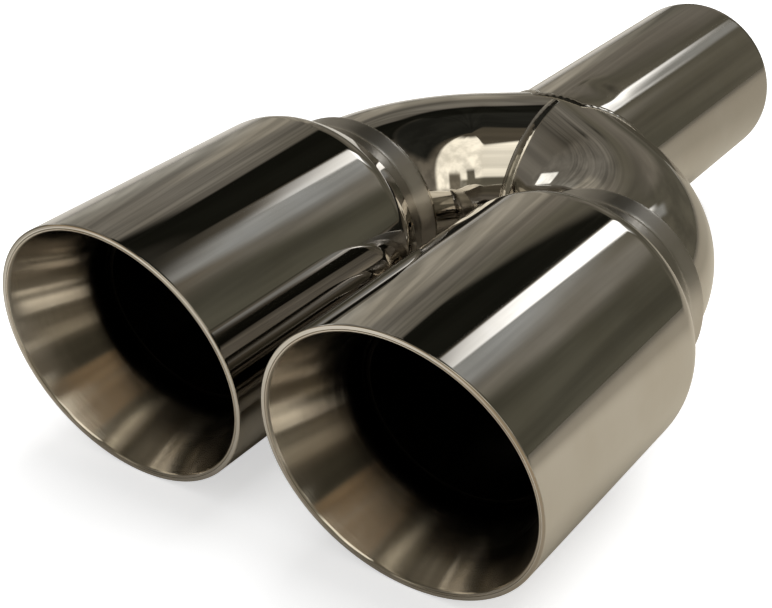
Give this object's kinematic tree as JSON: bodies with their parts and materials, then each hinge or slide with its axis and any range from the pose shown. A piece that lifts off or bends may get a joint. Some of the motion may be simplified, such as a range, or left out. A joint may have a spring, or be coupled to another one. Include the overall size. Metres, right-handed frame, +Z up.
{
  "type": "twin exhaust tip",
  "caption": "Twin exhaust tip in mirror-polished stainless steel: slash-cut outlets with bevelled liners on elbows that join in a round inlet tube.",
  "frame": {"origin": "centre of the rear end of the inlet tube", "axes": "+Y out of the inlet along its axis, away from the mouths; +Z up; +X towards the right outlet for someone who looks along +Y into the mouths"},
  "size_m": [0.1859, 0.3097, 0.0888],
  "materials": {
    "polished_steel": "mirror-polished stainless steel",
    "liner_steel": "polished stainless steel, softly spun",
    "inner_steel": "plain drawn tube, darkened inside",
    "weld_metal": "polished weld bead with fine ripples"
  },
  "bodies": {
    "root": {"left_sleeve": "polished_steel", "right_sleeve": "polished_steel", "left_liner": "liner_steel", "right_liner": "liner_steel", "left_core_tube": "inner_steel", "right_core_tube": "inner_steel", "left_core_weld": "weld_metal", "right_core_weld": "weld_metal", "left_elbow": "polished_steel", "right_elbow": "polished_steel", "left_neck_weld": "weld_metal", "right_neck_weld": "weld_metal", "mitre_weld": "weld_metal", "inlet_tube": "polished_steel", "inlet_weld": "weld_metal"}
  },
  "joints": []
}
